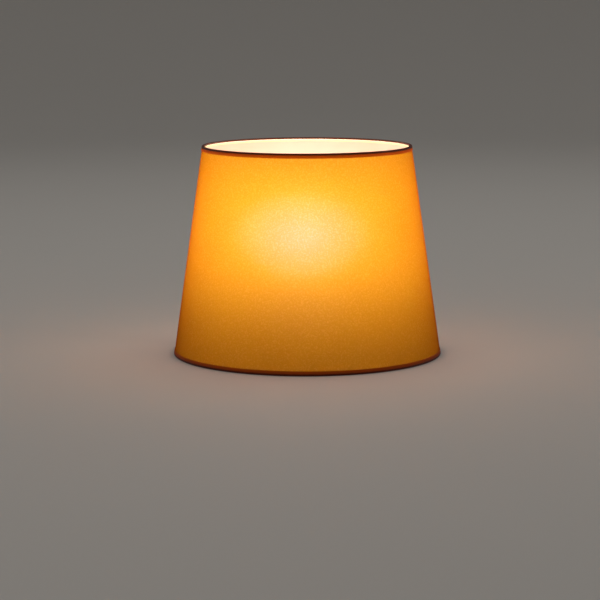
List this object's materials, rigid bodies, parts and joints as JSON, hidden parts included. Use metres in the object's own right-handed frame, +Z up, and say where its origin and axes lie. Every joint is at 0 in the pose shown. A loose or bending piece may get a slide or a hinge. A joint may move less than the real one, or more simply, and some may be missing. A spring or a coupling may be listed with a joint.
{
  "type": "lamp shade",
  "caption": "Tapered drum lamp shade: stiffened fabric wall, bound edges, wire rings and a spoked fitter for a lampholder.",
  "frame": {"origin": "centre of the bottom edge, on the surface that the shade stands on when it is off its lamp", "axes": "+Z up along the fitter's bore, from the wide end to the narrow end; the seam is at the back left"},
  "size_m": [0.4498, 0.4498, 0.35],
  "materials": {
    "cover_fabric": "amber woven cloth, matt, lets light through",
    "lining": "cream-white stiff sheet, satin",
    "edging": "rust-brown folded tape, matt weave",
    "wire": "white powder coat on steel",
    "tape": "clear double-sided tape, slightly yellow"
  },
  "bodies": {
    "root": {"fabric_cover": "cover_fabric", "lining_sheet": "lining", "seam_tape": "tape", "top_trim": "edging", "bottom_trim": "edging", "top_ring": "wire", "bottom_ring": "wire", "top_ring_tape": "tape", "bottom_ring_tape": "tape", "spoke_1": "wire", "spoke_2": "wire", "spoke_3": "wire", "fitter_ring": "wire"}
  },
  "joints": []
}
